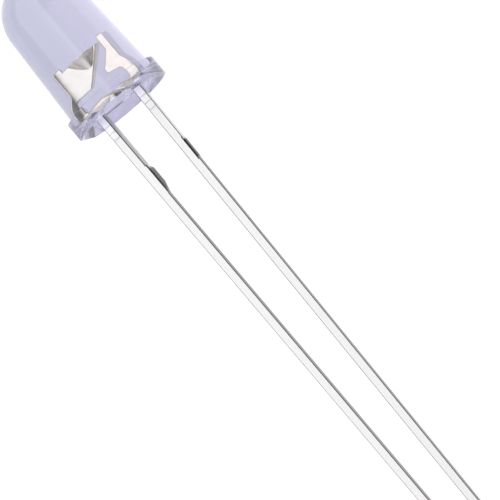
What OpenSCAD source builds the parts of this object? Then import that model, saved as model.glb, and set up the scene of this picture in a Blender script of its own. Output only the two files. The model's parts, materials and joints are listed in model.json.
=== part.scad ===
// Round 5 mm through-hole light-emitting diode, in millimetres.
// A clear cast lens holds two stamped leads. The cathode lead ends in an anvil with a reflector cup
// that carries the chip. The anode lead ends in a post, and a fine wire joins its top to the chip.
// The shapes are drawn upright: X runs from the cathode to the anode, Z up to the dome, and the
// origin is on the lens axis at the flange's underside. placed() then lays the diode down.

/* [Lens] */
// Diameter of the lens where it meets the flange
lens_d = 5.1; // [4.2:0.05:6.2]
// Height from the flange's underside to the top of the dome
lens_h = 8.3; // [6.9:0.1:10]
// Taper of the lens wall on each side, in degrees
lens_taper = 3; // [1:0.5:4]

/* [Flange] */
// How far the flange stands out from the lens all round
flange_lip = 0.31; // [0.25:0.01:0.4]
// Thickness of the flange
flange_h = 1.0; // [0.8:0.05:1.2]
// Ledge left between the lens wall and the flat that marks the cathode side
flat_land = 0.03; // [0.02:0.01:0.1]
// Depth of the hollow under the flange, where the resin set as a free surface
hollow_depth = 1.02; // [0.85:0.01:1.15]
// Width of the edge left round that hollow
hollow_edge = 0.05; // [0.03:0.01:0.1]

/* [Leads] */
// Distance between the leads' centre lines at the flange
pitch = 2.54; // [2.1:0.01:3.06]
// Width of each lead, across the pair
lead_w = 0.48; // [0.4:0.01:0.58]
// Thickness of the sheet that both leads are stamped from
sheet_t = 0.5; // [0.4:0.01:0.6]
// Length of the cathode lead below the flange
cathode_l = 28; // [20:0.5:29]
// Length of the anode lead below the flange
anode_l = 30; // [29:0.5:36]
// Lean of the anode lead towards the cathode lead, in degrees
anode_lean = 0.8; // [0:0.1:1.2]

/* [Lead necks] */
// Height above the flange's underside where each lead starts to narrow inside the lens
neck_start_z = 1.4; // [1.2:0.05:1.45]
// Height where the narrowing ends
neck_end_z = 1.95; // [1.85:0.05:2.2]
// Radius of the bends in the narrowing edge
neck_r = 0.35; // [0.1:0.05:0.5]
// How far the cathode lead's inner edge steps in under the anvil
neck_in = 0.1; // [0.05:0.01:0.12]

/* [Tie bar cuts] */
// Distance from the flange's underside to the nearer edge of the cut tie bar
tie_start = 3.2; // [2.5:0.1:4]
// Height of the tie bar
tie_h = 1.3; // [1:0.1:1.6]
// Height of the tapering root under the stub on the cathode lead
tie_root = 0.45; // [0.3:0.05:0.6]
// Stub left standing on the cathode lead, at its back face
cathode_stub = 0.16; // [0.12:0.01:0.2]
// Stub left standing on the cathode lead, at its front face
cathode_stub_front = 0.02; // [0.01:0.01:0.05]
// Stub left standing on the anode lead, at its back face
anode_stub = 0.03; // [0.02:0.01:0.2]
// How far the anode's cut reaches into the lead at its front face
anode_bite = 0.05; // [0.02:0.01:0.08]

/* [Sheared edge] */
// How far the cathode lead's inner edge stands out above the tie bar, at its back face
upper_edge_out = 0.06; // [0.03:0.01:0.1]
// How far that edge slants into the lead at its front face
upper_edge_in = 0.03; // [0.01:0.01:0.05]

/* [Reflector cup] */
// Height of the cup's rim above the flange's underside
cup_rim_z = 3.17; // [2.64:0.01:3.8]
// Radius of the cup's rim, outside
cup_rim_r = 0.685; // [0.57:0.005:0.82]
// How far the cup stands off the lens axis, towards the anode
cup_off = 0.06; // [0:0.01:0.1]
// Width of the rim
cup_wall = 0.125; // [0.1:0.005:0.15]
// Depth of the cup
cup_depth = 0.37; // [0.31:0.01:0.44]
// Radius of the cup's floor
cup_floor_r = 0.3; // [0.25:0.01:0.36]
// Half angle of the cone that the cup's outside follows, in degrees
cup_cone = 29; // [25:1:34]

/* [Anvil] */
// Height of the anvil's underside above the flange's underside
anvil_z = 1.57; // [1.45:0.01:1.7]
// How far the anvil's outer edge stands inside the lead's outer edge
anvil_setback = 0.34; // [0.25:0.01:0.4]
// Width of the raised shoulder at the anvil's outer end
shoulder_w = 0.39; // [0.3:0.01:0.42]
// Rise of that shoulder above the cup's rim
shoulder_rise = 0.24; // [0.15:0.01:0.3]
// Lean of the anvil's slanting edge from the upright, in degrees
anvil_slant = 36; // [32:1:40]
// How far the anvil's top corner stands past the cup's rim
anvil_corner = 0.055; // [0.03:0.005:0.1]

/* [Post] */
// Gap between the slanting edges of the anvil and the post, along X
frame_gap = 0.56; // [0.5:0.01:0.62]
// Gap between the anvil's top corner and the post, along X
post_gap = 0.16; // [0.12:0.01:0.25]
// Width of the post's top
post_w = 0.34; // [0.28:0.01:0.4]
// Rise of the post's top above the cup's rim
post_rise = 0.28; // [0.2:0.01:0.35]
// Length of the spur that reaches from the lead under the anvil's slanting edge
spur_l = 0.61; // [0.5:0.01:0.65]
// Height of the spur's underside above the flange's underside, where it meets the lead
spur_z = 1.48; // [1.35:0.01:1.55]
// How much that underside rises towards the spur's tip
spur_rise = 0.14; // [0.05:0.01:0.2]

/* [Chip and wire] */
// Side of the square chip
chip_w = 0.28; // [0.24:0.01:0.32]
// Height of the chip
chip_h = 0.15; // [0.12:0.01:0.18]
// Diameter of the conductive paste under the chip
paste_d = 0.44; // [0.42:0.01:0.46]
// Thickness of the paste
paste_h = 0.03; // [0.02:0.005:0.04]
// Diameter of the bond wire
wire_d = 0.025; // [0.025:0.005:0.04]
// Diameter of the wire's ball on the chip and of its foot on the post
ball_d = 0.09; // [0.07:0.01:0.12]

/* [Hidden] */
$fn = 96;
cut_over = 1; // how far a cutting shape runs past what it cuts
arc_steps = 6; // straight steps in a rounded corner of a stamped outline
corner_r = 0.05; // outside corners of the stamped outlines
full_width = 0.2; // share of the sheet's thickness that a slanting break leaves at full width
fillet_r = 0.2; // inside corners where a lead widens
knee_r = 0.2; // inside corner where the post's slanting edge turns upright

lens_r = lens_d / 2;
flange_r = lens_r + flange_lip;
flat_x = lens_r + flat_land;
hollow_r = flange_r - hollow_edge;
hollow_ball_r = (pow(hollow_r, 2) + pow(hollow_depth, 2)) / (2 * hollow_depth);
hollow_side = 45; // slope of the hollow along the flat, in degrees
dome_r = (lens_r * cos(lens_taper) - (lens_h - flange_h) * sin(lens_taper)) / (1 - sin(lens_taper));
dome_z = lens_h - dome_r;
wall_top_z = dome_z + dome_r * sin(lens_taper); // the wall runs smoothly into the dome here
wall_top_r = dome_r * cos(lens_taper);

lead_out_x = (pitch + lead_w) / 2;
lead_in_x = (pitch - lead_w) / 2;
lean = tan(anode_lean);
tie_end = tie_start + tie_h;
edge_in_resin = 0.1; // how far the slanting edge runs on into the resin
upper_edge_top = hollow_depth + edge_in_resin;

cup_floor_z = cup_rim_z - cup_depth;
cup_bore_r = cup_rim_r - cup_wall;
cup_foot_r = 0.1; // where the cup's cone ends, well inside the anvil
cup_foot_z = cup_rim_z - (cup_rim_r - cup_foot_r) / tan(cup_cone);
cup_cut_in = 0.02; // how far inside the anvil's slanting edge the cup's cone stops
anvil_top_x = cup_off + cup_rim_r + anvil_corner;

anvil_out_x = lead_out_x - anvil_setback;
post_in_x = anvil_top_x + post_gap;
post_out_x = post_in_x + post_w;
post_top_z = cup_rim_z + post_rise;
post_mid_x = (post_in_x + post_out_x) / 2;
spur_x = lead_in_x - spur_l;

chip_z = cup_floor_z + paste_h;
wire_start_z = chip_z + chip_h;
ball_h = 0.03; // height of the wire's ball
foot_h = 0.015; // height of the wire's foot

// The wire is one arc that leaves the chip upright and comes down on the post's top.
wire_run = post_mid_x - cup_off;
wire_rise = post_top_z - wire_start_z;
wire_bend_r = (pow(wire_run, 2) + pow(wire_rise, 2)) / (2 * wire_run);
wire_angle = 180 - atan2(wire_rise, wire_run - wire_bend_r);

// Resting pose. The diode lies on the flange's lower edge and both lead tips, so the floor's
// upward normal is (slope, -drop, 1) in the upright frame, up to its length.
slope = (anode_l - cathode_l) / (pitch - anode_l * lean);
reach = cathode_l + slope * lead_out_x;
drop_a = pow(flange_r, 2) - pow(sheet_t, 2) / 4;
drop_b = sheet_t * reach;
drop_c = pow(flange_r * slope, 2) - pow(reach, 2);
drop = (drop_b + sqrt(pow(drop_b, 2) - 4 * drop_a * drop_c)) / (2 * drop_a);
roll = -atan2(slope, drop);
tilt = atan2(1, norm([slope, drop]));

// Box of the diode as it lies, before it is moved over the origin
flat_half = sqrt(pow(flange_r, 2) - pow(flat_x, 2));
side_low = -(flat_x * cos(roll) - flat_half * sin(roll));
front_low = min(tip_y(-lead_out_x, cathode_l), tip_y(lead_out_x - anode_l * lean, anode_l),
    tip_y(lead_in_x - anode_l * lean, anode_l));
back_high = dome_z * cos(tilt) + dome_r;

function tip_y(x, length) =
    -length * cos(tilt) + (x * sin(roll) - sheet_t / 2 * cos(roll)) * sin(tilt);

function unit(v) = v / norm(v);

// Points of one corner b, between its neighbours a and c, rounded to radius r
function corner(a, b, c, r) = r == 0 ? [b] :
    let (
        to_a = unit(a - b),
        to_c = unit(c - b),
        half = acos(to_a * to_c) / 2,
        centre = b + unit(to_a + to_c) * r / sin(half),
        from = unit(to_a * r / tan(half) + b - centre),
        turn = sign(cross(to_c, to_a)) * (180 - 2 * half)
    )
    [for (i = [0:arc_steps])
        let (t = turn * i / arc_steps)
        centre + r * [from.x * cos(t) - from.y * sin(t), from.x * sin(t) + from.y * cos(t)]];

// Outline through corners [x, z, radius]
function rounded(corners) = [
    for (i = [0:len(corners) - 1])
        let (
            a = corners[(i + len(corners) - 1) % len(corners)],
            b = corners[i],
            c = corners[(i + 1) % len(corners)]
        )
        each corner([a.x, a.y], [b.x, b.y], [c.x, c.y], b.z)
];

// Lays the upright diode down at rest, over the origin, with the dome towards +Y
module placed() {
    translate([-(side_low + flange_r) / 2, -(front_low + back_high) / 2, flange_r * cos(tilt)])
        rotate([tilt, 0, 0])
            rotate([0, roll, 0])
                rotate([-90, 0, 0])
                    children();
}

// Stamps an outline drawn in X and Z out of the sheet
module stamped(corners) {
    rotate([90, 0, 0])
        linear_extrude(sheet_t, center = true)
            polygon(rounded(corners));
}

// X of the anvil's slanting edge at a height
function slant_x(z) = anvil_top_x - (cup_rim_z - z) * tan(anvil_slant);

// Height at which the anvil's slanting edge has a given X
function slant_z(x) = cup_rim_z - (anvil_top_x - x) / tan(anvil_slant);

module lens_form() {
    rotate_extrude() {
        square([flange_r, flange_h]);
        polygon([[0, flange_h], [lens_r, flange_h], [wall_top_r, wall_top_z], [0, wall_top_z]]);
        intersection() {
            translate([0, dome_z]) circle(dome_r);
            translate([0, wall_top_z]) square(2 * dome_r);
        }
    }
}

// Removes the flange's edge on the cathode side
module flange_flat() {
    translate([-flat_x - flange_r, -flange_r, -cut_over])
        cube([flange_r, 2 * flange_r, flange_h + 2 * cut_over]);
}

// Hollow under the flange, a shallow ball that keeps an even edge along the flat
module underside_hollow() {
    intersection() {
        translate([0, 0, hollow_depth - hollow_ball_r]) sphere(hollow_ball_r);
        translate([hollow_edge - flat_x, 0, 0])
            rotate([0, -hollow_side, 0])
                translate([-cut_over, -flange_r, -2 * flange_r])
                    cube([3 * flange_r, 2 * flange_r, 2 * flange_r]);
    }
}

// What stands past a slanting break along a lead's edge, which is at X = 0. The break runs from
// one X at the front face to another near the back face, between two heights.
module slanting_break(front, back, low, high) {
    run = (back - front) / (sheet_t * (1 - full_width));
    far = sheet_t / 2 + cut_over;
    translate([0, 0, low])
        linear_extrude(high - low)
            polygon([
                [front - run * cut_over, -far],
                [front + run * (far + sheet_t / 2), far],
                [front + run * (far + sheet_t / 2) + cut_over, far],
                [front + run * (far + sheet_t / 2) + cut_over, -far],
            ]);
}

module cathode_sheet() {
    stamped([
        [-lead_out_x, -cathode_l, 0],
        [-lead_in_x, -cathode_l, 0],
        [-lead_in_x, -tie_end - tie_root, 0],
        [-lead_in_x + cathode_stub, -tie_end + tie_root / 2, corner_r],
        [-lead_in_x + cathode_stub, -tie_start - cathode_stub, corner_r],
        [-lead_in_x + upper_edge_out, -tie_start, 0],
        [-lead_in_x + upper_edge_out, upper_edge_top - upper_edge_out, 0],
        [-lead_in_x - neck_in, upper_edge_top + neck_in, 0],
        [-lead_in_x - neck_in, anvil_z, fillet_r],
        [slant_x(anvil_z), anvil_z, corner_r],
        [slant_x(cup_rim_z), cup_rim_z, 0],
        [-anvil_out_x + shoulder_w, cup_rim_z, 0],
        [-anvil_out_x + shoulder_w, cup_rim_z + shoulder_rise, corner_r],
        [-anvil_out_x, cup_rim_z + shoulder_rise, 2 * corner_r],
        [-anvil_out_x, neck_end_z, neck_r],
        [-lead_out_x, neck_start_z, neck_r],
    ]);
}

// Moves what stands in the cup off the lens axis
module in_cup() {
    translate([cup_off, 0, 0]) children();
}

// Cone outside the cup, cut off just inside the anvil's slanting edge
module cup_outside() {
    size = 4 * cup_rim_r;
    intersection() {
        in_cup()
            translate([0, 0, cup_foot_z])
                cylinder(h = cup_rim_z - cup_foot_z, r1 = cup_foot_r, r2 = cup_rim_r);
        translate([anvil_top_x - cup_cut_in, 0, cup_rim_z])
            rotate([0, anvil_slant, 0])
                translate([-size, -size / 2, -size])
                    cube([size, size, 2 * size]);
    }
}

module cup_recess() {
    flare = (cup_bore_r - cup_floor_r) / cup_depth;
    in_cup()
        translate([0, 0, cup_floor_z])
            cylinder(h = cup_depth + cut_over, r1 = cup_floor_r, r2 = cup_bore_r + flare * cut_over);
}

module cathode_form() {
    break_z = -tie_start + cathode_stub; // the two slanting breaks meet here
    difference() {
        union() {
            cathode_sheet();
            cup_outside();
        }
        cup_recess();
        translate([-lead_in_x, 0, 0]) {
            slanting_break(cathode_stub_front, cathode_stub, -tie_end - tie_root, break_z);
            slanting_break(-upper_edge_in, upper_edge_out, break_z, upper_edge_top);
        }
    }
}

module anode_sheet() {
    stamped([
        [lead_out_x, 0, 0],
        [lead_out_x, neck_start_z, neck_r],
        [post_out_x, neck_end_z, neck_r],
        [post_out_x, post_top_z, corner_r],
        [post_in_x, post_top_z, corner_r],
        [post_in_x, slant_z(post_in_x - frame_gap), knee_r],
        [spur_x, slant_z(spur_x - frame_gap), 2 * corner_r],
        [spur_x, spur_z + spur_rise, 2 * corner_r],
        [lead_in_x, spur_z, fillet_r],
        [lead_in_x, 0, 0],
        [lead_in_x - anode_l * lean, -anode_l, 0],
        [lead_out_x - anode_l * lean, -anode_l, 0],
        [lead_out_x - tie_end * lean, -tie_end, 0],
        [lead_out_x - tie_end * lean + anode_stub, -tie_end, 0],
        [lead_out_x - tie_start * lean + anode_stub, -tie_start, 0],
        [lead_out_x - tie_start * lean, -tie_start, 0],
    ]);
}

module anode_form() {
    difference() {
        anode_sheet();
        translate([lead_out_x, 0, 0])
            rotate([0, anode_lean, 0])
                slanting_break(-anode_bite, anode_stub, -tie_end - anode_bite, -tie_start + anode_bite);
    }
}

module chip_form() {
    in_cup() translate([-chip_w / 2, -chip_w / 2, chip_z]) cube([chip_w, chip_w, chip_h]);
}

module die_attach_form() {
    in_cup() translate([0, 0, cup_floor_z]) cylinder(h = paste_h, d = paste_d);
}

module wire_arc() {
    translate([cup_off + wire_bend_r, 0, wire_start_z])
        rotate([90, 0, 0])
            rotate_extrude(angle = -wire_angle, start = 180)
                translate([wire_bend_r, 0]) circle(d = wire_d);
}

// The wire, with a ball on the chip and a flattened foot on the post
module bond_wire_form() {
    difference() {
        union() {
            wire_arc();
            in_cup() translate([0, 0, wire_start_z]) cylinder(h = ball_h, d = ball_d);
            translate([post_mid_x, 0, post_top_z]) cylinder(h = foot_h, d = ball_d);
        }
        translate([post_in_x, -post_w / 2, post_top_z - cut_over]) cube([post_w, post_w, cut_over]);
    }
}

module lens() {
    color([0.8, 0.8, 0.9, 0.4])
        placed()
            difference() {
                lens_form();
                flange_flat();
                underside_hollow();
                cathode_form();
                anode_form();
                chip_form();
                die_attach_form();
                bond_wire_form();
            }
}

module cathode_lead() {
    color("silver") placed() cathode_form();
}

module anode_lead() {
    color("silver") placed() anode_form();
}

module chip() {
    color("goldenrod") placed() chip_form();
}

module die_attach() {
    color("gainsboro") placed() die_attach_form();
}

module bond_wire() {
    color("whitesmoke") placed() bond_wire_form();
}

lens();
cathode_lead();
anode_lead();
chip();
die_attach();
bond_wire();
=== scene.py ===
import json
import math

import bmesh
import bpy
from mathutils import Matrix, Vector


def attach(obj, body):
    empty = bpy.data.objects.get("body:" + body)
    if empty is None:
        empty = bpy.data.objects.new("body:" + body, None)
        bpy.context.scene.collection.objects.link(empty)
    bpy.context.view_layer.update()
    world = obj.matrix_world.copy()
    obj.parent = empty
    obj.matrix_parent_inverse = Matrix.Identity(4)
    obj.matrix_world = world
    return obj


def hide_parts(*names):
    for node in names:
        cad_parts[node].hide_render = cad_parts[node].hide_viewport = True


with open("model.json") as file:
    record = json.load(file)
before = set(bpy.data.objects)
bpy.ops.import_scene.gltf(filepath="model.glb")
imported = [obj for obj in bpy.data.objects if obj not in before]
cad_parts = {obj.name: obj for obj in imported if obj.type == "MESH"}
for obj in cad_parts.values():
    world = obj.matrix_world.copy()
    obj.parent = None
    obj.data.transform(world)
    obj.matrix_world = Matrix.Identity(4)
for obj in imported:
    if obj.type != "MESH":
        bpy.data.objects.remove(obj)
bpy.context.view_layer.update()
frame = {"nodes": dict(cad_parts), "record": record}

MM = 0.001
MOUNTS = {m["name"]: m for m in frame["record"]["mounts"]}

# The diode is described upright: SIDE runs from the cathode lead to the anode lead, UP to the dome,
# BACK away from the viewer, and the origin is the centre of the flange's underside.
BASE = Vector(MOUNTS["leads"]["pos_m"])
UP = -Vector(MOUNTS["leads"]["axis"])
_seat = Vector(MOUNTS["flange_seat"]["pos_m"]) - BASE
SIDE = (_seat - UP * _seat.dot(UP)).normalized()
BACK = UP.cross(SIDE)
LYING = Matrix.Translation(BASE) @ Matrix((SIDE, BACK, UP)).transposed().to_4x4()

# Lens
FLANGE_R = MOUNTS["flange_rim"]["dims"]["r_mm"] * MM
FLANGE_H = MOUNTS["flange_rim"]["dims"]["length_mm"] * MM
LENS_R = 2.55 * MM
LENS_H = 8.3 * MM
LENS_TAPER = math.radians(3)
LENS_SIDES = 128
LENS_CREASE = math.radians(40)
FLAT_X = 2.58 * MM
DOME_R = (LENS_R * math.cos(LENS_TAPER) - (LENS_H - FLANGE_H) * math.sin(LENS_TAPER)) / (
    1 - math.sin(LENS_TAPER)
)
DOME_Z = LENS_H - DOME_R
DOME_RINGS = 28
FOOT_ROUND, FOOT_STEPS = 0.10 * MM, 5
RIM_ROUND, RIM_STEPS = 0.10 * MM, 4
LIP_ROUND, LIP_STEPS = 0.02 * MM, 2
RIM_TURN = math.radians(50)
DISH_DEPTH = 1.02 * MM
DISH_EDGE = 0.05 * MM
DISH_LEAN = math.radians(45)
DISH_BALL_R = ((FLANGE_R - DISH_EDGE) ** 2 + DISH_DEPTH**2) / (2 * DISH_DEPTH)
DISH_RINGS = 160

# Leads
SHEET_T = 0.5 * MM
PUNCH_ROUND = 0.045 * MM
CUP_ROUND = 0.035 * MM
PRESS_STEPS = 4
CUP_RIM_Z = 3.17 * MM
CUP_RIM_TURN = 0.5
SAME_FACE = math.radians(0.1)
LEAD_CREASE = math.radians(26)
LEAD_SMOOTH = math.radians(35)

# Modelling
SAME_PLACE = 0.0001 * MM
CLOSE = 0.002 * MM
NEAR = 0.01 * MM
UPWARD = 0.9  # a face whose normal reaches this far up faces up
FLAT_ON = 0.99  # and one that reaches this far out of the sheet is the sheet's front or back
CORNER = 0.4  # two faces meet at a corner when the cosine between them is under this
CUTTER_SPAN = 4  # a cutting block's size, in radii of what it cuts
NORMAL_WEIGHT = 80

# Heights in millimetres above the flange's underside, each as the start and end of a change
BREAK_FOOT = (-4.48, -4.40)
# Over this span the cut edges turn from their darker colour to a paler painted light
EDGE_TO_PAINTED_LIGHT = (-4.4, -3.3)
BREAK_TOP = (-3.34, -3.24)
CLAMP_FOOT = (-1.35, -1.25)
# Over this span, up to the flange, the tin is painted brighter, a painted light against the lens's
# shade
PAINTED_LIGHT_UNDER_FLANGE = (-1.1, 0.0)
CLAMP_TOP = (0.05, 0.15)
DEEP_TINT = (0.2, 1.3)
ENCASED = (0.7, 0.9)

# Places in millimetres, in the same way: from the lens's axis towards the anode side, and from the
# sheet's middle towards its back
# Over this span the resin's tint is painted paler towards the anode side, a painted light
PAINTED_LIGHT_ACROSS_RESIN = (0.2, 2.0)
ANODE_BREAK = (0, 1)
BREAK_DEPTH = (-0.22, 0.02)

# How far a face looks along an axis, in the same way, up to 1
FREE_SURFACE = (0.1, 0.4)
COINED_CONE = (0.3, 0.45)
CUT_EDGE = (0.7, 0.92)
BREAK_FACE = (0.75, 0.88)
SHEET_FACE = (0.94, 0.98)
CLAMPED_FACE = (0.95, 0.99)
UNROUNDED = (0.95, 0.999)

# Patterns: how many times each axis is squeezed, where it is, then the noise's scale per millimetre,
# its detail and its roughness
FLOW_SQUEEZE, FLOW = (1.0, 1.0, 0.25), (0.9, 2.0)
STREAK_SQUEEZE, STREAKS = (16.0, 16.0, 0.6), (1.0, 4.0, 0.6)
WANDER_SQUEEZE, WANDER = (9.0, 9.0, 3.0), (1.0, 2.0)
GRAIN = (7.0, 5.0, 0.7)
PLATE = (3.0, 3.0, 0.6)

EPOXY_IOR = 1.53
EPOXY_RELIEF = 0.01
LEAD_RELIEF = 0.012

# Marks of the clamp in millimetres, across the faces just below the flange
TICK_START = 0.385
TICK_PITCH = 0.41
TICK_HALF_WIDTH = (0.015, 0.055)
TICK_WANDER = 0.06

# Tent: its bright cloth is a strip overhead, and these point into the strip from its two edges
TENT_ANODE_EDGE = (-0.952, 0.242, 0.185)
TENT_CATHODE_EDGE = (0.545, 0.0, 0.839)
TENT_EDGE_SOFT = 0.075
TENT_BRIGHT = 1.75
TENT_SIDE = 0.6
TENT_DIM = 0.2
TENT_LOW = 0.9
TENT_SIDE_TO_DIM = (-0.5, 0.3)
TENT_LOW_TO_SIDE = (0.04, 0.2)

# Floor: matt for the light on the diode, and nearly white where it is seen
FLOOR_SIZE = 6.0
FLOOR_GLOW = 0.94
LIGHT_BOUNCES = 32
GLASS_BOUNCES = 24

# Camera, in the upright frame
CAMERA_AT = Vector((10.19, -44.06, -6.16)) * MM
CAMERA_RIGHT = Vector((0.7584, 0.1147, -0.6417))
CAMERA_UP = Vector((0.6141, 0.2045, 0.7623))
SENSOR = 36.0
FOCAL = 61.29


def rgb(red, green, blue):
    """A colour, opaque."""
    return (red, green, blue, 1.0)


# Colours: two shades where a finish varies between them
# The resin's violet tint, and a paler shade of it that is painted light
RESIN_TINT_AND_PAINTED_LIGHT = rgb(0.54, 0.54, 0.705), rgb(0.66, 0.64, 0.815)
RESIN_FLANGE = rgb(0.50, 0.48, 0.68)
TIN = rgb(0.53, 0.525, 0.53), rgb(0.60, 0.595, 0.60)
# Painted light: the tin's colour just below the flange
TIN_PAINTED_LIGHT = rgb(0.86, 0.855, 0.86)
TIN_EDGE = rgb(0.30, 0.295, 0.30), rgb(0.42, 0.415, 0.42)
# Painted light: the cut edges' colour above the tie bar, paler than the tin itself
TIN_EDGE_PAINTED_LIGHT = rgb(0.85, 0.84, 0.85)
# Painted shade: the colour of the leads' rounded edges outside the lens
ROLLED_EDGE_PAINTED_SHADE = rgb(0.05, 0.05, 0.05)
TICK = rgb(0.25, 0.24, 0.24)
TORN = rgb(0.004, 0.004, 0.004), rgb(0.36, 0.35, 0.34)
SILVER = rgb(0.95, 0.9, 0.69), rgb(0.99, 0.95, 0.73)
SILVER_EDGE = rgb(0.72, 0.71, 0.70), rgb(0.82, 0.81, 0.79)
CHIP = rgb(0.45, 0.38, 0.2), rgb(0.62, 0.52, 0.3)
PASTE = rgb(0.6, 0.6, 0.58), rgb(0.85, 0.85, 0.83)
WIRE = rgb(0.86, 0.85, 0.84), rgb(0.97, 0.96, 0.95)
FLOOR_MATT = rgb(0.8, 0.8, 0.8)
FLOOR_SEEN = rgb(0.12, 0.12, 0.12)
WHITE = rgb(1, 1, 1)


# Materials -----------------------------------------------------------------------------------------


class Value:
    """A number that varies over a surface. Sums on it add Math nodes."""

    def __init__(self, paint, socket):
        self.paint = paint
        self.socket = socket

    def _math(self, operation, *values):
        made = self.paint.node("ShaderNodeMath", {"operation": operation}, dict(enumerate(values)))
        return Value(self.paint, made.outputs[0])

    def __add__(self, other):
        return self._math("ADD", self, other)

    def __radd__(self, other):
        return self._math("ADD", other, self)

    def __sub__(self, other):
        return self._math("SUBTRACT", self, other)

    def __rsub__(self, other):
        return self._math("SUBTRACT", other, self)

    def __mul__(self, other):
        return self._math("MULTIPLY", self, other)

    def __rmul__(self, other):
        return self._math("MULTIPLY", other, self)

    def __truediv__(self, other):
        return self._math("DIVIDE", self, other)

    def __abs__(self):
        return self._math("ABSOLUTE", self)

    def above(self, low, high):
        """0 under low, 1 over high, and smooth between."""
        made = self.paint.node(
            "ShaderNodeMapRange",
            {"interpolation_type": "SMOOTHSTEP"},
            {"Value": self, "From Min": low, "From Max": high},
        )
        return Value(self.paint, made.outputs["Result"])

    def larger(self, other):
        return self._math("MAXIMUM", self, other)

    def fraction_from_half(self):
        """How far the fraction of a number lies from one half, from 0 to 0.5."""
        return abs(self._math("FRACT", self) - 0.5)


class Paint:
    """The nodes of one material."""

    def __init__(self, name):
        self.material = bpy.data.materials.new(name)
        self.start(self.material, "ShaderNodeOutputMaterial")

    def start(self, owner, output):
        """Clears the nodes of a material or a world, and adds the output."""
        owner.use_nodes = True
        self.tree = owner.node_tree
        self.tree.nodes.clear()
        self.output = self.node(output)

    def node(self, kind, settings=None, inputs=None):
        """Adds a node. Its settings are set first, then its sockets are given values or links."""
        made = self.tree.nodes.new(kind)
        for name, setting in (settings or {}).items():
            setattr(made, name, setting)
        for key, given in (inputs or {}).items():
            if isinstance(given, Value):
                given = given.socket
            if isinstance(given, bpy.types.NodeSocket):
                self.tree.links.new(given, made.inputs[key])
            else:
                made.inputs[key].default_value = given
        return made

    def along(self, vector, axis):
        """How far a vector reaches along an axis."""
        made = self.node("ShaderNodeVectorMath", {"operation": "DOT_PRODUCT"}, {0: vector, 1: axis})
        return Value(self, made.outputs["Value"])

    def place(self):
        """Position in the upright frame, in millimetres, as a vector and its three numbers."""
        spot = self.node("ShaderNodeTexCoord").outputs["Object"]
        parts = [self.along(spot, axis / MM) - BASE.dot(axis) / MM for axis in (SIDE, BACK, UP)]
        joined = self.node("ShaderNodeCombineXYZ", None, dict(enumerate(parts)))
        return joined.outputs[0], *parts

    def facing(self, axis):
        """How far the surface faces along an axis, from -1 to 1."""
        return self.along(self.node("ShaderNodeNewGeometry").outputs["Normal"], axis)

    def squeezed(self, spot, scale):
        """The same position with its axes scaled, so a pattern on it is squeezed by that much."""
        made = self.node("ShaderNodeVectorMath", {"operation": "MULTIPLY"}, {0: spot, 1: scale})
        return made.outputs["Vector"]

    def noise(self, spot, scale, detail=3.0, roughness=0.55):
        made = self.node(
            "ShaderNodeTexNoise",
            None,
            {"Vector": spot, "Scale": scale, "Detail": detail, "Roughness": roughness},
        )
        return Value(self, made.outputs["Fac"])

    def blend(self, amount, first, second):
        """A colour between two colours."""
        made = self.node(
            "ShaderNodeMix", {"data_type": "RGBA"}, {"Factor": amount, "A": first, "B": second}
        )
        return made.outputs["Result"]

    def mid(self, amount, first, second):
        """A number between two numbers."""
        return first + amount * (second - first)

    def bump(self, height, depth):
        """A normal from a height of 0 to 1 that stands for a depth in millimetres."""
        made = self.node("ShaderNodeBump", None, {"Height": height, "Distance": depth * MM})
        return made.outputs["Normal"]

    def finish(self, made):
        """Links a shader to the output."""
        self.tree.links.new(made.outputs[0], self.output.inputs["Surface"])

    def surface(self, inputs):
        """Finishes the material with one shader."""
        self.finish(self.node("ShaderNodeBsdfPrincipled", None, inputs))
        return self.material


def epoxy():
    """Clear cast epoxy with a violet tint, deeper in the flange, and faint flow marks; the tint is
    painted paler towards the anode side, a painted light.
    """
    paint = Paint("clear_epoxy")
    spot, side, _, height = paint.place()
    flow = paint.noise(paint.squeezed(spot, FLOW_SQUEEZE), *FLOW)
    free_surface = (-1 * paint.facing(UP)).above(*FREE_SURFACE)
    # Painted light: the resin is painted paler towards the anode side, mixed with the flow marks
    body = paint.blend((side + 0.8 * flow).above(*PAINTED_LIGHT_ACROSS_RESIN), *RESIN_TINT_AND_PAINTED_LIGHT)
    return paint.surface(
        {
            "Base Color": paint.blend(height.above(*DEEP_TINT), RESIN_FLANGE, body),
            "Roughness": 0.02 + 0.02 * flow + 0.16 * free_surface,
            "IOR": EPOXY_IOR,
            "Transmission Weight": 1.0,
            "Normal": paint.bump(flow, EPOXY_RELIEF),
        }
    )


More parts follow.
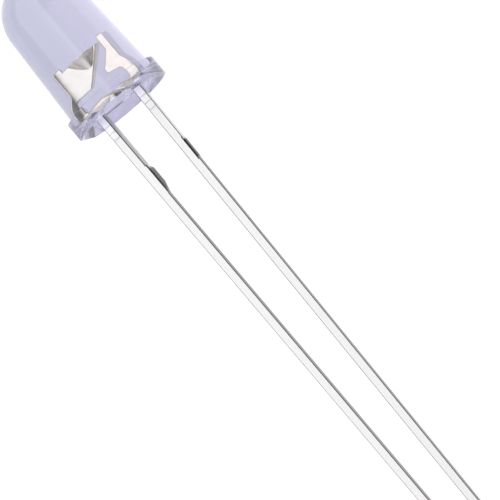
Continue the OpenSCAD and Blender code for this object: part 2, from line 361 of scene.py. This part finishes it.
def lead_metal():
    """The stamped sheet: bright silver plate inside the resin, satin tin on the leads outside it."""
    paint = Paint("plated_sheet")
    spot, side, back, height = paint.place()

    # The sheet's front and back, its cut edges, the rounding between them, and the coined cup
    front = abs(paint.facing(BACK))
    edge = abs(paint.facing(SIDE))
    cut = edge.above(*CUT_EDGE)
    rolled = 1 - front.larger(edge).larger(abs(paint.facing(UP))).above(*UNROUNDED)
    coined = (-1 * paint.facing(UP)).above(*COINED_CONE) * (1 - front.above(*SHEET_FACE))

    streaks = paint.noise(paint.squeezed(spot, STREAK_SQUEEZE), *STREAKS)
    grain = paint.noise(spot, *GRAIN)
    worn = (0.6 * streaks + 0.4 * grain).above(0.32, 0.68)
    plate = paint.noise(spot, *PLATE)

    # Marks of the clamp
    wander = TICK_WANDER * paint.noise(paint.squeezed(spot, WANDER_SQUEEZE), *WANDER)
    tick = ((height + wander + TICK_START) / TICK_PITCH).fraction_from_half() * TICK_PITCH
    ticks = (1 - tick.above(*TICK_HALF_WIDTH)) * height.above(*CLAMP_FOOT)
    ticks = ticks * (1 - height.above(*CLAMP_TOP))
    ticks = ticks * front.above(*CLAMPED_FACE) * grain.above(0.3, 0.5)

    # Torn metal where the tie bar was broken off, on the edges towards the anode side
    ragged = height + 0.12 * (grain - 0.5)
    torn = ragged.above(*BREAK_FOOT) * (1 - ragged.above(*BREAK_TOP))
    torn = torn * paint.facing(SIDE).above(*BREAK_FACE)
    torn_shade = (back + 0.1 * grain - 0.12 * side.above(*ANODE_BREAK)).above(*BREAK_DEPTH)

    # Painted light: the tin is painted brighter for about 1 mm below the flange, where the lens's
    # underside shades it
    tin = paint.blend(height.above(*PAINTED_LIGHT_UNDER_FLANGE), paint.blend(worn, *TIN), TIN_PAINTED_LIGHT)
    # Painted light: above the tie bar the cut edges are painted paler than the tin, to lift the
    # shade they reflect; below it they keep their darker colour
    tin_edge = paint.blend(height.above(*EDGE_TO_PAINTED_LIGHT), paint.blend(worn, *TIN_EDGE), TIN_EDGE_PAINTED_LIGHT)
    # Painted shade: outside the lens the rounded edges are painted nearly black, as dark reflected
    # lines
    outside = paint.blend(0.85 * rolled, paint.blend(cut, tin, tin_edge), ROLLED_EDGE_PAINTED_SHADE)
    silver = paint.blend(plate.above(0.35, 0.65), *SILVER)
    inside = paint.blend(cut, silver, paint.blend(worn, *SILVER_EDGE))
    encased = height.above(*ENCASED)
    colour = paint.blend(encased, outside, inside)
    colour = paint.blend(0.35 * ticks, colour, TICK)
    colour = paint.blend(torn, colour, paint.blend(torn_shade, *TORN))

    tin_roughness = 0.28 + 0.1 * worn + 0.1 * cut + 0.2 * torn
    silver_roughness = 0.07 + 0.05 * cut + 0.25 * coined
    relief = 0.5 * streaks + 0.3 * grain - 0.3 * ticks + 1.5 * torn * grain
    return paint.surface(
        {
            "Base Color": colour,
            "Metallic": 1.0,
            "Roughness": paint.mid(encased, tin_roughness, silver_roughness),
            "Normal": paint.bump((1 - encased) * relief, LEAD_RELIEF),
        }
    )


def grained(name, shades, grain, metallic, roughness, relief, contrast=None):
    """The finish of a small part: its colour, roughness and height follow one fine grain."""
    paint = Paint(name)
    speckle = paint.noise(paint.place()[0], *grain)
    least, spread = roughness
    return paint.surface(
        {
            "Base Color": paint.blend(speckle.above(*contrast) if contrast else speckle, *shades),
            "Metallic": metallic,
            "Roughness": least + spread * speckle,
            "Normal": paint.bump(speckle, relief),
        }
    )


def give(piece, material):
    piece.data.materials.clear()
    piece.data.materials.append(material)


# Modelling -----------------------------------------------------------------------------------------


def take(piece):
    """Selects one piece and nothing else, and makes it the active one."""
    bpy.ops.object.select_all(action="DESELECT")
    piece.select_set(True)
    bpy.context.view_layer.objects.active = piece


def pick(piece, kind, test):
    """In edit mode, selects the edges or faces that pass a test, and nothing else."""
    bpy.ops.mesh.select_mode(type={"edges": "EDGE", "faces": "FACE"}[kind])
    bpy.ops.mesh.select_all(action="DESELECT")
    shape = bmesh.from_edit_mesh(piece.data)
    shape.normal_update()
    for item in getattr(shape, kind):
        if test(item):
            item.select_set(True)
    shape.select_flush_mode()
    bmesh.update_edit_mesh(piece.data)


def round_edges(piece, test, width, steps, clamp=False):
    """In edit mode, rounds the edges that pass a test."""
    pick(piece, "edges", test)
    bpy.ops.mesh.bevel(offset=width, segments=steps, profile=0.5, clamp_overlap=clamp)


def apply_modifier(piece, kind, **settings):
    take(piece)
    bpy.ops.object.modifier_add(type=kind)
    modifier = piece.modifiers[-1]
    for name, setting in settings.items():
        setattr(modifier, name, setting)
    bpy.ops.object.modifier_apply(modifier=modifier.name)


def carve(piece, operation, tool):
    """Cuts a piece with a tool, which is then thrown away."""
    apply_modifier(piece, "BOOLEAN", operation=operation, object=tool, solver="EXACT")
    bpy.data.objects.remove(tool)


def cutting_block(size, location, lean=0.0):
    """A cube to carve with, leaning about the y axis."""
    bpy.ops.object.select_all(action="DESELECT")
    bpy.ops.mesh.primitive_cube_add(size=size, location=location, rotation=(0, lean, 0))
    return bpy.context.active_object


def smooth(piece, crease):
    """Shades a piece smooth, except along edges that turn by more than an angle."""
    take(piece)
    bpy.ops.object.shade_smooth_by_angle(angle=crease)
    apply_modifier(piece, "WEIGHTED_NORMAL", keep_sharp=True, weight=NORMAL_WEIGHT)


def lay_down(piece):
    """Turns an upright piece to the way that the diode lies, with its place in its mesh."""
    take(piece)
    piece.matrix_world = LYING
    bpy.ops.object.transform_apply(location=True, rotation=True, scale=True)


def raise_ring(radius, height, last_radius, last_height):
    """Extrudes the selected top face to a new height and radius."""
    bpy.ops.mesh.extrude_region_move(
        TRANSFORM_OT_translate={"value": (0, 0, height - last_height)}
    )
    ratio = radius / last_radius
    bpy.ops.transform.resize(value=(ratio, ratio, 1), center_override=(0, 0, height))


def level(edge, height, play):
    """Whether both ends of an upright piece's edge are at a height."""
    return all(abs(v.co.z - height) < play for v in edge.verts)


def cast_lens():
    """The epoxy's outer skin: flange, tapered wall and dome, closed all round."""
    bpy.ops.object.select_all(action="DESELECT")
    bpy.ops.mesh.primitive_cylinder_add(
        vertices=LENS_SIDES, radius=FLANGE_R, depth=FLANGE_H, location=(0, 0, FLANGE_H / 2)
    )
    lens = bpy.context.active_object
    lens.name = lens.data.name = "lens_skin"
    take(lens)
    bpy.ops.object.transform_apply(location=True, rotation=True, scale=True)
    bpy.ops.object.mode_set(mode="EDIT")
    pick(lens, "faces", lambda face: face.normal.z > UPWARD)
    bpy.ops.mesh.inset(thickness=FLANGE_R - LENS_R)
    radius, height = LENS_R, FLANGE_H
    for step in range(DOME_RINGS):
        angle = LENS_TAPER + (math.pi / 2 - LENS_TAPER) * step / DOME_RINGS
        ring_r, ring_z = DOME_R * math.cos(angle), DOME_Z + DOME_R * math.sin(angle)
        raise_ring(ring_r, ring_z, radius, height)
        radius, height = ring_r, ring_z
    bpy.ops.mesh.extrude_region_move(TRANSFORM_OT_translate={"value": (0, 0, LENS_H - height)})
    bpy.ops.mesh.merge(type="CENTER")

    def foot(edge):
        """Whether an edge is where the wall stands on the flange."""
        round_wall = all(abs(v.co.xy.length - LENS_R) < 2 * NEAR for v in edge.verts)
        return level(edge, FLANGE_H, NEAR) and round_wall

    round_edges(lens, foot, FOOT_ROUND, FOOT_STEPS)
    bpy.ops.object.mode_set(mode="OBJECT")
    cut_flat(lens)
    hollow_underside(lens)
    round_rims(lens)
    smooth(lens, LENS_CREASE)
    lay_down(lens)
    return lens


def cut_flat(lens):
    """Cuts the flange's edge away on the cathode side."""
    size = CUTTER_SPAN * FLANGE_R
    carve(lens, "DIFFERENCE", cutting_block(size, (-FLAT_X - size / 2, 0, 0)))


def hollow_underside(lens):
    """Cuts the dish that the epoxy's free surface leaves, with an even edge along the flat."""
    bpy.ops.object.select_all(action="DESELECT")
    bpy.ops.mesh.primitive_uv_sphere_add(
        segments=LENS_SIDES,
        ring_count=DISH_RINGS,
        radius=DISH_BALL_R,
        location=(0, 0, DISH_DEPTH - DISH_BALL_R),
    )
    ball = bpy.context.active_object
    size = CUTTER_SPAN * DISH_BALL_R
    reach = size / 2 * math.sin(DISH_LEAN)
    block = cutting_block(size, (-FLAT_X + DISH_EDGE + reach, 0, -reach), DISH_LEAN)
    carve(ball, "INTERSECT", block)
    carve(lens, "DIFFERENCE", ball)


def round_rims(lens):
    """Rounds the flange's outer edges, except where the flat meets the wall."""

    def sharp(edge):
        return edge.is_manifold and edge.calc_face_angle(0) > RIM_TURN

    def top(edge):
        on_flat = all(abs(v.co.x + FLAT_X) < NEAR for v in edge.verts)
        return sharp(edge) and not on_flat and level(edge, FLANGE_H, SAME_PLACE)

    def lip(edge):
        return sharp(edge) and level(edge, 0, SAME_PLACE)

    take(lens)
    bpy.ops.object.mode_set(mode="EDIT")
    round_edges(lens, top, RIM_ROUND, RIM_STEPS, clamp=True)
    round_edges(lens, lip, LIP_ROUND, LIP_STEPS, clamp=True)
    bpy.ops.object.mode_set(mode="OBJECT")


def soften_lead(node):
    """A lead as it comes from the press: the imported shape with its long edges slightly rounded."""
    take(frame["nodes"][node])
    bpy.ops.object.duplicate()
    lead = bpy.context.active_object
    lead.name = lead.data.name = node + "_pressed"
    take(lead)

    def outline(edge):
        """Whether an edge lies along the front or back of the stamped sheet's outline."""
        if not edge.is_manifold or not edge.is_convex:
            return False
        depths = [abs(abs((v.co - BASE).dot(BACK)) - SHEET_T / 2) for v in edge.verts]
        first, second = (face.normal for face in edge.link_faces)
        flat_face = max(abs(first.dot(BACK)), abs(second.dot(BACK))) > FLAT_ON
        return max(depths) < CLOSE and abs(first.dot(second)) < CORNER and flat_face

    def cup_rim(edge):
        """Whether an edge is part of the cup's rim, where it bulges out of the sheet."""
        places = [v.co - BASE for v in edge.verts]
        at_rim = all(abs(place.dot(UP) - CUP_RIM_Z) < CLOSE for place in places)
        bulging = all(abs(place.dot(BACK)) > SHEET_T / 2 - NEAR for place in places)
        convex = edge.is_manifold and edge.is_convex
        return convex and at_rim and bulging and edge.calc_face_angle(0) > CUP_RIM_TURN

    bpy.ops.object.mode_set(mode="EDIT")
    bpy.ops.mesh.select_all(action="SELECT")
    bpy.ops.mesh.remove_doubles(threshold=SAME_PLACE)
    bpy.ops.mesh.dissolve_limited(angle_limit=SAME_FACE)
    round_edges(lead, outline, PUNCH_ROUND, PRESS_STEPS)
    round_edges(lead, cup_rim, CUP_ROUND, PRESS_STEPS)
    pick(lead, "edges", lambda edge: edge.is_manifold and edge.calc_face_angle(0) > LEAD_CREASE)
    bpy.ops.mesh.mark_sharp()
    bpy.ops.object.mode_set(mode="OBJECT")
    smooth(lead, LEAD_SMOOTH)
    return lead


# Stage ---------------------------------------------------------------------------------------------


def lay_floor():
    """A plain white floor that keeps a soft shadow."""
    bpy.ops.object.select_all(action="DESELECT")
    bpy.ops.mesh.primitive_plane_add(size=FLOOR_SIZE, location=(0, 0, 0))
    floor = bpy.context.active_object
    floor.name = "floor"
    paint = Paint("floor_white")
    path = paint.node("ShaderNodeLightPath")
    seen = Value(paint, path.outputs["Is Camera Ray"])
    for ray in ("Is Glossy Ray", "Is Transmission Ray"):
        seen = seen.larger(Value(paint, path.outputs[ray]))
    matt = paint.node("ShaderNodeBsdfDiffuse", None, {"Color": FLOOR_MATT})
    shown = paint.node("ShaderNodeBsdfDiffuse", None, {"Color": FLOOR_SEEN})
    glow = paint.node("ShaderNodeEmission", None, {"Color": WHITE, "Strength": FLOOR_GLOW})
    both = paint.node("ShaderNodeAddShader", None, {0: shown.outputs[0], 1: glow.outputs[0]})
    paint.finish(
        paint.node("ShaderNodeMixShader", None, {0: seen, 1: matt.outputs[0], 2: both.outputs[0]})
    )
    give(floor, paint.material)


class Tent(Paint):
    """The nodes of the white tent round the scene."""

    def __init__(self, name):
        self.world = bpy.data.worlds.new(name)
        self.start(self.world, "ShaderNodeOutputWorld")


def hang_tent():
    """A white tent, lit brightest overhead, dim halfway down and pale near the floor."""
    tent = Tent("tent")
    ray = tent.node("ShaderNodeTexCoord").outputs["Generated"]
    anode_edge, cathode_edge = (
        tent.along(ray, edge).above(-TENT_EDGE_SOFT, TENT_EDGE_SOFT)
        for edge in (TENT_ANODE_EDGE, TENT_CATHODE_EDGE)
    )
    overhead = anode_edge * cathode_edge
    lit_side = 1 - tent.along(ray, (1, 0, 0)).above(*TENT_SIDE_TO_DIM)
    low = 1 - tent.along(ray, (0, 0, 1)).above(*TENT_LOW_TO_SIDE)
    strength = tent.mid(overhead, TENT_DIM + (TENT_SIDE - TENT_DIM) * lit_side, TENT_BRIGHT)
    strength = tent.mid(low, strength, TENT_LOW)
    tent.finish(tent.node("ShaderNodeBackground", None, {"Color": WHITE, "Strength": strength}))
    bpy.context.scene.world = tent.world


def place_camera():
    """The camera, placed and turned in the upright frame and then laid down with the diode."""
    data = bpy.data.cameras.new("camera")
    data.sensor_width = SENSOR
    data.lens = FOCAL
    data.clip_start = MM
    camera = bpy.data.objects.new("camera", data)
    bpy.context.scene.collection.objects.link(camera)
    turn = LYING.to_3x3()
    right, up = turn @ CAMERA_RIGHT, turn @ CAMERA_UP
    camera.matrix_world = Matrix.Translation(LYING @ CAMERA_AT) @ Matrix(
        (right, up, right.cross(up))
    ).transposed().to_4x4()
    bpy.context.scene.camera = camera


# The diode -----------------------------------------------------------------------------------------

bpy.context.scene.view_settings.view_transform = "Standard"
bpy.context.scene.cycles.max_bounces = LIGHT_BOUNCES
bpy.context.scene.cycles.glossy_bounces = GLASS_BOUNCES
bpy.context.scene.cycles.transmission_bounces = GLASS_BOUNCES
place_camera()
lay_floor()
hang_tent()

lens = cast_lens()
give(lens, epoxy())
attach(lens, "root")
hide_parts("lens")

lead_finish = lead_metal()
for node in ("cathode_lead", "anode_lead"):
    lead = soften_lead(node)
    give(lead, lead_finish)
    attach(lead, "root")
    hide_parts(node)

chip_surface = grained(
    "chip_surface",
    CHIP,
    grain=(20.0, 2.0),
    metallic=0.3,
    roughness=(0.2, 0.15),
    relief=0.004,
    contrast=(0.35, 0.65),
)
silver_paste = grained(
    "silver_paste", PASTE, grain=(28.0, 4.0, 0.7), metallic=0.7, roughness=(0.45, 0.2), relief=0.01
)
silver_wire = grained(
    "silver_wire", WIRE, grain=(40.0, 2.0), metallic=1.0, roughness=(0.18, 0.1), relief=0.002
)
give(frame["nodes"]["chip"], chip_surface)
give(frame["nodes"]["die_attach"], silver_paste)
give(frame["nodes"]["bond_wire"], silver_wire)
